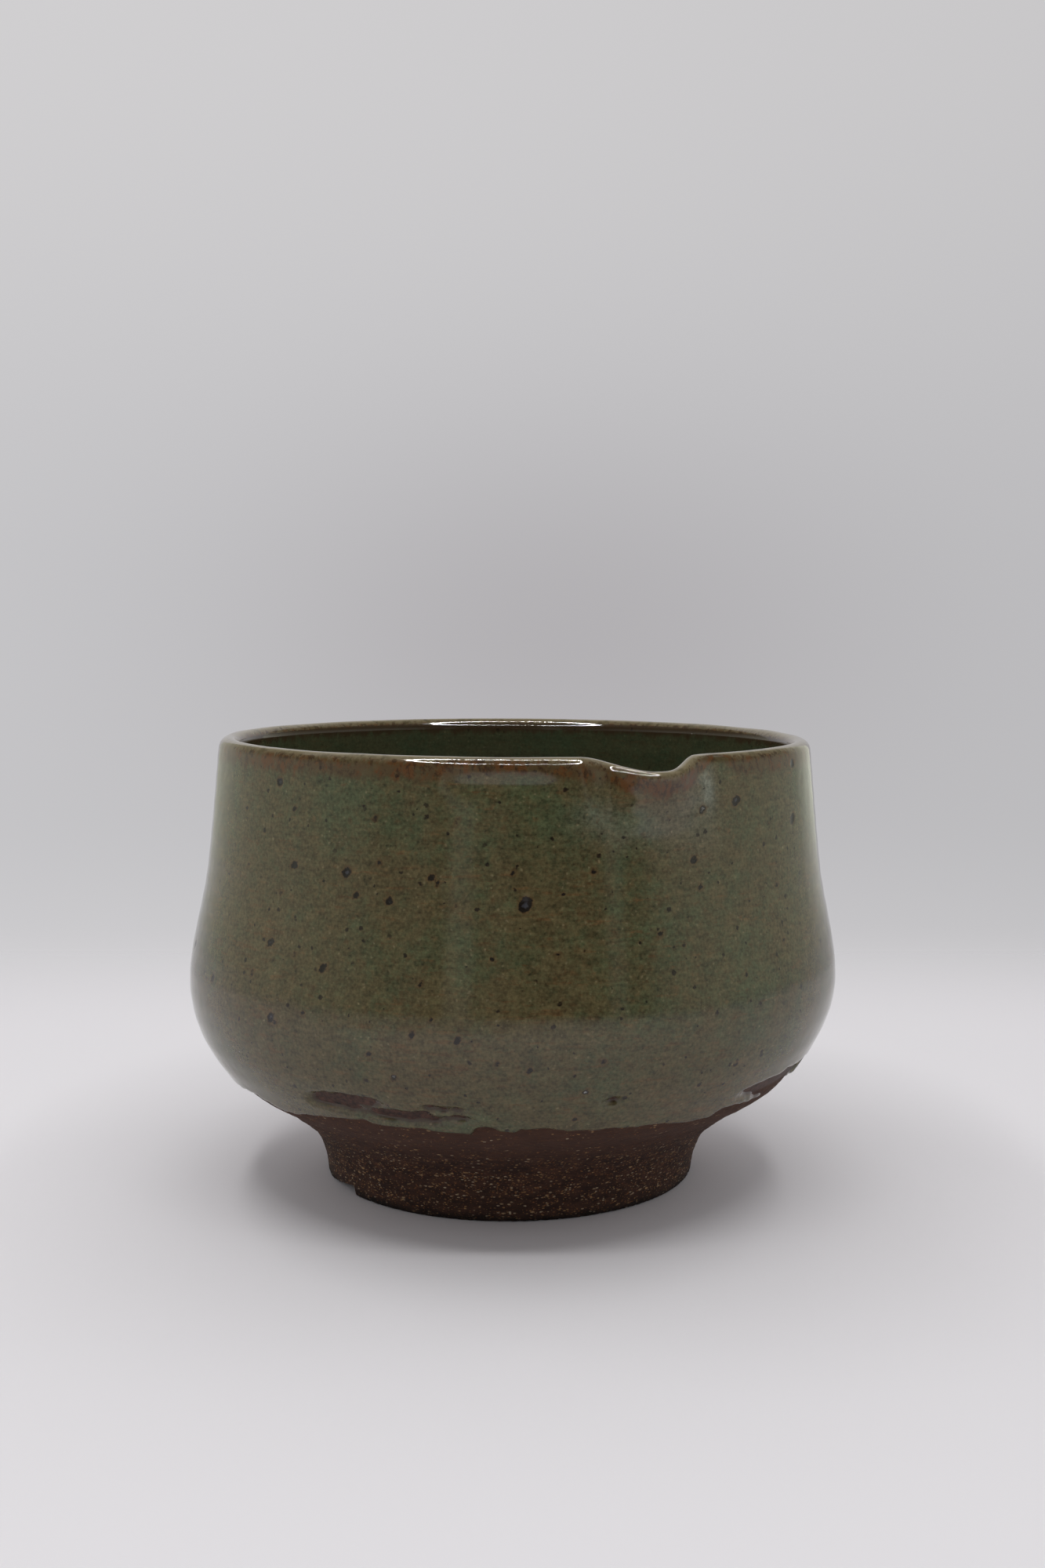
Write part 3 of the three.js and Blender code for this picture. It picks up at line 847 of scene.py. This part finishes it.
def glazeFinish(name, place):
    # Ash glaze over iron-bearing clay: olive with green and brown in soft patches, brown streaks round
    # the pot, pale and dark specks, iron spots with a metallic heart, and a brown lip. Painted into the
    # colour are a highlight on the crest of the lip, pale reflections by the spout, white glints in three
    # spots, and shade over the inside
    f = Finish(bpy.data.materials.new(name))
    inside = place == "inside"
    coat = coats[place]
    colours = glazeColours
    noises = {key: f.noise(*values) for key, values in glazeNoises.items()}
    broad, mottle, fine, flecked = [noises[key] for key in ("broad", "mottle", "fine", "flecked")]
    toneHere = f.attribute("tone")
    speckled = 1.0 * (mottle - 0.5) + 0.9 * (flecked - 0.5)
    greenness = f.step(0.20, 0.95, 0.42 + 0.45 * toneHere + 1.0 * (broad - 0.5) + speckled)
    streaks = 1.5 * (noises["streak"] - 0.5) + 1.5 * (noises["wisps"] - 0.5)
    brownness = f.step(0.53, 0.86, 0.40 - 0.30 * toneHere + streaks - 0.5 * speckled)
    colour = f.blend(greenness, colours["olive"], colours["green"])
    colour = f.blend(brownness * 0.75, colour, colours["brown"])
    # Painted shade and thick glaze: the inside is darkened halfway towards deep green everywhere, and further
    # where the glaze pools thick
    if inside:
        colour = f.blend(f.step(0.75, 1.05, f.attribute("depth")) * 0.4 + 0.5, colour, colours["deep"])
    else:
        # Painted reflection: pale greenish grey patches by the spout
        colour = f.blend(f.attribute("paintedReflection") * (0.6 + 0.8 * broad), colour, colours["paintedReflection"])
    # Fuzzy brown specks, pale grains and small dark specks
    far, chance, tint = f.cells(2.0, warp=0.5)
    fuzzy = f.step(0.75, 0.10, far) * f.step(0.40, 0.60, chance)
    colour = f.blend(fuzzy * (0.05 if inside else 0.12 + 0.4 * tint), colour, colours["brown"])
    far, chance, tint = f.cells(0.85, warp=0.3)
    pale = f.step(0.30, 0.08, far) * f.step(0.45, 0.65, chance)
    colour = f.blend(pale * coat["pale"] * tint, colour, colours["pale"])
    far, chance, tint = f.cells(1.9, warp=0.35)
    speckRadius = 0.13 + 0.33 * tint * tint
    dark = f.step(1.25, 0.7, far / speckRadius) * f.step(0.42, 0.50, chance)
    colour = f.blend(dark * coat["dark"], colour, colours["speck"])
    shade = 1.3 * (noises["grain"] - 0.5) + 1.9 * (fine - 0.5) + 1.0 * (noises["lined"] - 0.5)
    colour = f.scaled(colour, 1.0 + coat["shade"] * shade)
    # The lip, where the glaze runs thin and breaks brown
    fromCrest = f.attribute("fromCrest").size()
    band = f.step(coat["bandEnds"], coat["bandFull"], fromCrest + 4.0 * (noises["drips"] - 0.5))
    # Painted highlight: the crest of the lip is coloured pale, as if the bright room above were reflected in
    # it
    crest = f.step(1.6, 0.5, fromCrest + 1.0 * (fine - 0.5))
    rimColour = f.blend(crest, colours["rim"], colours[coat["crest"]])
    rust = f.step(0.49, 0.58, noises["patchy"] - 0.09 * toneHere) * f.step(0.6, 1.4, fromCrest)
    rimColour = f.blend(rust * 0.95, rimColour, colours["rust"])
    clots = f.step(0.51, 0.40, noises["clots"]) * f.step(0.3, 1.2, fromCrest)
    rimColour = f.blend(clots * 0.9, rimColour, colours["thin"])
    rimColour = f.blend(f.step(0.53, 0.66, mottle) * 0.65, rimColour, colours["olive"])
    if inside:
        under = f.step(0.3, 1.6, fromCrest + 0.8 * (fine - 0.5))
        rimColour = f.blend(under, rimColour, colours["rimInside"])
    colour = f.blend(band * 0.9, colour, rimColour)
    colour = f.blend(dark * band * 0.6, colour, colours["speck"])
    roughness = 0.05 + 0.045 * f.step(0.4, 0.8, mottle)
    if not inside:
        colour = f.blend(f.step(0.5, 0.12, f.attribute("depth")) * 0.85, colour, colours["thin"])
        gap = f.attribute("spot") + 0.9 * (flecked - 0.5) + 0.3 * (fine - 0.5)
        size = f.attribute("spotSize")
        halo = f.step(0.6, -0.1, gap) * f.step(0.2, 0.5, size)
        colour = f.blend(halo * 0.6, colour, colours["brown"])
        spot = f.step(0.16, -0.16, gap)
        colour = f.blend(spot * 0.95, colour, colours["spot"])
        heart = f.step(-0.45, -0.75, gap / size.most(0.2)) * f.step(0.6, 0.9, size)
        colour = f.blend(heart * 0.65, colour, colours["spotHeart"])
        # Painted highlight: a white glint in the heart of three spots
        glintMask = f.step(-0.25, -0.7, gap / size.most(0.2)) * f.attribute("paintedGlint")
        colour = f.blend(glintMask * 0.8, colour, colours["paintedGlint"])
        roughness = roughness + 0.1 * spot
    return f.surface(f.add("BsdfPrincipled", {}, {
        "Base Color": colour,
        "Roughness": roughness,
        "IOR": 1.5,
        "Normal": f.bump(0.55 * mottle + 0.3 * fine, 0.012, 1.0),
    }))


clayColours = {
    "dark": (0.028, 0.0115, 0.0078),
    "warm": (0.062, 0.0265, 0.0155),
    "flash": (0.085, 0.039, 0.027),
    "tan": (0.36, 0.21, 0.09),
    "cream": (0.44, 0.35, 0.24),
    "rust": (0.24, 0.085, 0.025),
}

# Grog by size: spacing and radius in mm, share of the places that hold a grain, and its two colours
grog = [
    (0.62, 0.17, 0.60, "tan", "cream"),
    (0.50, 0.15, 0.65, "rust", "tan"),
    (1.2, 0.27, 0.40, "cream", "tan"),
    (0.36, 0.11, 0.6, "tan", "rust"),
]


def clayFinish():
    # Dark stoneware full of pale grog that the turning tool dragged and laid bare, denser down the
    # foot, and with a thin brown shine where glaze once touched it
    f = Finish(bpy.data.materials.new("bareClay"))
    colours = clayColours
    height = f.add("SeparateXYZ", {}, {0: f.coordinates()}, "Z")
    low = f.attribute("grog")
    flash = f.attribute("flash")
    mottle = f.noise(3.5, 4.0, 0.6, (1.0, 1.0, 2.5))
    bands = f.noise(8.0, 3.0, 0.6, (0.35, 0.35, 9.0))
    fine = f.noise(0.35, 3.0, 0.65)
    colour = f.blend(f.step(0.35, 0.7, mottle), colours["dark"], colours["warm"])
    colour = f.blend(f.step(0.2, 1.0, 1.0 - low) * 0.6, colour, colours["warm"])
    rusty = f.noise(0.8, 4.0, 0.75, (0.7, 0.7, 1.6))
    colour = f.blend(f.step(0.5, 0.85, rusty) * 0.35, colour, colours["rust"])
    colour = f.blend(flash * 0.85, colour, colours["flash"])
    crowd = (0.30 + 0.70 * low) * (0.45 + 0.9 * f.step(0.35, 0.7, bands)) * (1.0 - flash)
    relief = 0.5 * fine
    for spacing, radius, share, tintA, tintB in grog:
        far, chance, tint = f.cells(spacing, (0.7, 0.7, 1.5))
        grain = f.step(1.2, 0.7, far / (radius * (0.6 + 0.6 * tint)) + 1.6 * (fine - 0.5))
        grain = grain * f.step(0.02, 0.10, share * crowd - chance)
        colour = f.blend(grain * (0.35 + 0.6 * tint), colour, f.blend(tint, colours[tintA], colours[tintB]))
        relief = relief + 0.35 * grain
    # Painted shade: the lowest couple of millimetres of the foot are darkened, where it meets the table
    paintedFootShade = f.step(1.8, 0.2, height + 1.2 * (mottle - 0.5))
    colour = f.scaled(colour, 1.0 - 0.8 * paintedFootShade)
    # The shine that glaze left is purplish and clotted
    clot = f.noise(0.9, 3.0, 0.6)
    shade = 1.0 + flash * (2.6 * (clot - 0.62))
    colour = f.scaled(colour, shade.most(0.15))
    drag = f.noise(1.6, 4.0, 0.7, (0.3, 0.3, 5.0))
    relief = relief + 0.9 * drag + flash * clot
    return f.surface(f.add("BsdfPrincipled", {}, {
        "Base Color": colour,
        "Roughness": 0.88 - 0.28 * flash,
        "Specular IOR Level": 0.35,
        "Normal": f.bump(relief, 0.10, 0.9),
    }))


# Floor, light and room. Lengths in metres, levels linear; the stage is turned to face the photo's camera.
studio = {
    "floorSize": 3.0,
    "floorColour": (0.82, 0.804, 0.825),
    "farStart": 0.10,
    "farEnd": 0.27,
    "skyLow": (0.63, 0.62, 0.635),
    "skyLevel": (0.535, 0.53, 0.545),
    "skyHigh": (0.61, 0.60, 0.61),
    "skyTop": (0.13, 0.128, 0.125),
    "skyTilt": 0.15,       # how much darker it gets to the right
    "duskColour": (0.42, 0.405, 0.42),
    "backFill": 1.45,
    "frontFill": 0.95,
    "sideFill": 1.0,
    # Lamps overhead, in metres and watts: right, ahead, size across, size ahead, power
    "lampHeight": 0.5,
    "overhead": {
        "near": (0.0, -0.2, 0.4, 0.05, 0.52),
        "left": (-0.2, 0.0, 0.05, 0.4, 0.52),
        "right": (0.2, 0.0, 0.05, 0.4, 0.34),
    },
    "curtainRadius": 0.36,
    "curtainColour": (0.97, 0.985, 0.86),
    "curtainRims": (0.0, 0.055, 0.42),   # heights where it begins, where it is dense and where it ends
    "curtainDusk": 0.88,                 # how much darker its upper part is
    # What stands round the front: degrees from the camera to its right, and level
    "curtain": [(-150, 0.60), (-120, 0.55), (-100, 0.54), (-80, 0.58), (-66, 0.48), (-53, 0.38),
                (-43, 0.20), (-30, 0.18), (-25, 0.10), (-22, 0.10), (-19.5, 0.34), (-17, 0.42),
                (-13.5, 0.40), (-11, 0.14), (-4, 0.12), (2, 0.03), (26, 0.02), (30, 0.06), (32, 0.28),
                (35, 0.28), (38, 0.06), (43, 0.12), (48, 0.34), (54, 0.48), (65, 0.58), (85, 0.58),
                (100, 0.52), (125, 0.50), (150, 0.55)],
    # Ring of small lamps, for reflections only: its middle, half its size across and ahead, and its height
    "ring": {"right": 0.003, "ahead": -0.137, "across": 0.140, "along": 0.15, "width": 0.007, "height": 0.333,
             "power": 380.0, "count": 110},
}


def turnedPlace(right, ahead, up):
    # A place given to the right of, ahead of and above the bowl's foot, as the photo's camera faces it
    c, s = math.cos(math.radians(photoAzimuth)), math.sin(math.radians(photoAzimuth))
    return Vector((right * c - ahead * s, right * s + ahead * c, up))


def stagePanel(name, corners, faces, material, reflectedOnly=True):
    # Panel of flat faces, which may be there for reflections only
    mesh = bpy.data.meshes.new(name)
    mesh.from_pydata([tuple(c) for c in corners], [], faces)
    mesh.materials.append(material)
    panel = addObject(name, mesh)
    if reflectedOnly:
        panel.visible_camera = False
        panel.visible_diffuse = False
        panel.visible_shadow = False
        panel.visible_transmission = False
    return panel


def mapPanel(panel, across, up):
    # Gives the panel a map from two numbers for each of its points
    flat = panel.data.uv_layers.new(name="across")
    corners = np.array([loop.vertex_index for loop in panel.data.loops])
    flat.data.foreach_set("uv", np.stack([np.array(across)[corners], np.array(up)[corners]], 1).ravel())


def glowFinish(name, level, colour=(1.0, 1.0, 1.0)):
    # Glow of a level that the given function works out from the map's two numbers, and that lets the
    # view through where the second number is low
    f = Finish(bpy.data.materials.new(name))
    across = f.add("SeparateXYZ", {}, {0: f.add("TexCoord", out="UV")}, "X")
    up = Wire(f, across.socket.node.outputs["Y"])
    glow = f.add("Emission", {}, {"Color": (*colour, 1.0), "Strength": level(f, across, up)})
    return f.surface(f.add("MixShader", {}, {0: f.step(0.0, 1.0, up), 1: f.add("BsdfTransparent"), 2: glow}))


def makeCurtain():
    # Curved sheet round the front whose level follows the stops, for reflections only
    stops = studio["curtain"]
    low, high = stops[0][0], stops[-1][0]

    def level(f, across, up):
        ramp = f.add("ValToRGB", {}, {0: across})
        points = ramp.socket.node.color_ramp.elements
        for k, (at, value) in enumerate(stops):
            place = (at - low) / (high - low)
            point = points[0] if k == 0 else points.new(place)
            point.position = place
            point.color = (value, value, value, 1.0)
        points.remove(points[-1])
        return ramp * (1.0 - studio["curtainDusk"] * f.step(1.6, 5.0, up))

    at = np.radians(np.linspace(low, high, 81))
    right = studio["curtainRadius"] * np.sin(at)
    ahead = -studio["curtainRadius"] * np.cos(at)
    rims = studio["curtainRims"]
    corners = [turnedPlace(x, y, rim) for rim in rims for x, y in zip(right, ahead)]
    count = len(at)
    faces = [(k, k + 1, k + 1 + count, k + count) for k in range(2 * count) if k % count < count - 1]
    panel = stagePanel("curtain", corners, faces, glowFinish("curtainGlow", level, studio["curtainColour"]))
    mapPanel(panel, np.tile(np.linspace(0.0, 1.0, count), 3), np.repeat(rims, count) / rims[1])


def makeLampRing():
    # Oval ring of small lamps overhead, for reflections only: level by a sine round the ring
    ring = studio["ring"]

    def level(f, across, up):
        wave = f.add("Math", {"operation": "SINE"}, {0: across * (2 * math.pi * ring["count"])})
        return f.step(-0.2, 0.6, wave) * ring["power"]

    count = 96
    turn = np.linspace(0.0, 2 * math.pi, count + 1)
    corners = []
    for grow in (0.0, ring["width"]):
        right = ring["right"] + (ring["across"] + grow) * np.cos(turn)
        ahead = ring["ahead"] + (ring["along"] + grow) * np.sin(turn)
        corners += [turnedPlace(x, y, ring["height"]) for x, y in zip(right, ahead)]
    faces = [(k, k + 1, k + 2 + count, k + 1 + count) for k in range(count)]
    panel = stagePanel("lampRing", corners, faces, glowFinish("lampGlow", level))
    mapPanel(panel, np.tile(np.linspace(0.0, 1.0, count + 1), 2), np.ones(2 * count + 2))


def seenRays(f):
    # 1 for rays from the camera, from reflections and through glass, 0 for light that falls on things
    names = ("Is Camera Ray", "Is Glossy Ray", "Is Transmission Ray")
    camera, glossy, through = [f.add("LightPath", out=name) for name in names]
    return camera.most(glossy).most(through)


def alongTurned(f, place, right, ahead):
    # Length of a place or direction along a level line given as parts to the right and ahead
    line = turnedPlace(right, ahead, 0.0)
    return f.add("VectorMath", {"operation": "DOT_PRODUCT"}, {0: place, 1: tuple(line)}, "Value")


def makeFloor():
    # Pale floor that fades into the pale room behind the bowl and far away
    f = Finish(bpy.data.materials.new("paleFloor"))
    half = studio["floorSize"] / 2
    place = f.add("TexCoord", out="Object")
    behind = f.step(studio["farStart"], studio["farEnd"], alongTurned(f, place, 0.0, 1.0))
    away = f.add("VectorMath", {"operation": "LENGTH"}, {0: place}, "Value")
    far = behind.most(f.step(0.5, 1.2, away))
    lit = f.add("BsdfDiffuse", {}, {"Color": (*studio["floorColour"], 1.0)})
    material = f.surface(f.add("MixShader", {}, {0: far * seenRays(f), 1: lit, 2: f.add("BsdfTransparent")}))
    corners = [(-half, -half, 0.0), (half, -half, 0.0), (half, half, 0.0), (-half, half, 0.0)]
    stagePanel("floor", corners, [(0, 1, 2, 3)], material, reflectedOnly=False)


def makeRoom():
    # Pale room: what is seen of it darkens a little low behind the bowl, and the light it gives comes
    # from the back, and from high up at the front
    f = Finish(bpy.data.worlds.new("paleRoom"))
    direction = f.add("TexCoord", out="Generated")
    level = f.add("SeparateXYZ", {}, {0: direction}, "Z")
    across = alongTurned(f, direction, 1.0, 0.0)
    front = alongTurned(f, direction, 0.0, -1.0)
    sky = f.blend(f.step(0.0, 0.34, level), studio["skyLevel"], studio["skyHigh"])
    sky = f.blend(f.step(-0.10, -0.25, level), sky, studio["skyLow"])
    sky = f.blend(f.step(0.45, 0.75, level + 0.25 * front), sky, studio["skyTop"])
    near = ((across - 0.02) * 5.2).power(2.0) + ((level + 0.01) * 9.0).power(2.0)
    dusk = f.add("Math", {"operation": "EXPONENT"}, {0: 0.0 - near})
    sky = f.blend(dusk * 0.75 * f.step(0.2, -0.2, front), sky, studio["duskColour"])
    strength = studio["frontFill"] * front.most(0.0) * level * level
    strength = strength + studio["backFill"] * (0.0 - front).most(0.0)
    strength = strength + studio["sideFill"] * across.size() * (1.0 - level)
    shown = f.add("Background", {}, {"Color": sky, "Strength": 1.0 - studio["skyTilt"] * across})
    given = f.add("Background", {}, {"Color": (1.0, 0.99, 1.0, 1.0), "Strength": strength})
    mixed = f.add("MixShader", {}, {0: seenRays(f), 1: given, 2: shown})
    bpy.context.scene.world = f.surface(mixed, "OutputWorld")


def makeOverheadLamps():
    # Frame of soft lamps overhead, which light things but aren't reflected
    for name, (right, ahead, across, along, power) in studio["overhead"].items():
        lamp = bpy.data.lights.new(name + "Lamp", "AREA")
        lamp.shape = "RECTANGLE"
        lamp.size = across
        lamp.size_y = along
        lamp.energy = power
        holder = addObject(name + "Lamp", lamp)
        holder.location = turnedPlace(right, ahead, studio["lampHeight"])
        holder.rotation_euler = Euler((0.0, 0.0, math.radians(photoAzimuth)))
        holder.visible_glossy = False


# The photo's camera, in metres and degrees
photoCamera = {
    "right": 0.00245,
    "back": 0.3276,
    "height": 0.1036,
    "pitch": 5.38,       # degrees that it looks down
    "focal": 40.1,       # in mm, like the sensor
    "sensor": 36.0,
    "nearest": 0.01,     # nothing closer than this is drawn
}


def makeCamera():
    # Camera at the photo's place and angle
    data = bpy.data.cameras.new("photoCamera")
    data.sensor_width = photoCamera["sensor"]
    data.lens = photoCamera["focal"]
    data.clip_start = photoCamera["nearest"]
    camera = addObject("photoCamera", data)
    camera.location = turnedPlace(photoCamera["right"], -photoCamera["back"], photoCamera["height"])
    tilt = math.radians(90.0 - photoCamera["pitch"])
    camera.rotation_euler = Euler((tilt, 0.0, math.radians(photoAzimuth)))
    bpy.context.scene.camera = camera


makeCamera()
makeFloor()
makeRoom()
makeCurtain()
makeLampRing()
makeOverheadLamps()
print("stage and camera are up")

clay = clayFinish()
outsideAsh = glazeFinish("outsideAshGlaze", "outside")
insideAsh = glazeFinish("insideAshGlaze", "inside")
print("finishes are mixed")

pieces = [
    (makeClayBowl(), clay, "clay", "clay_bowl"),
    (makeFootRing(), clay, "clay", "foot_ring"),
    (makeOutsideGlaze(), outsideAsh, "outside_glaze", "outside_glaze"),
    (makeInsideGlaze(), insideAsh, "inside_glaze", "inside_glaze"),
]
for piece, material, slot, node in pieces:
    piece.data.materials.append(material)
    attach(piece, "root")
    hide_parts(node)
    print(piece.name, "has", len(piece.data.vertices), "vertices")

bpy.context.scene.view_settings.view_transform = "Standard"
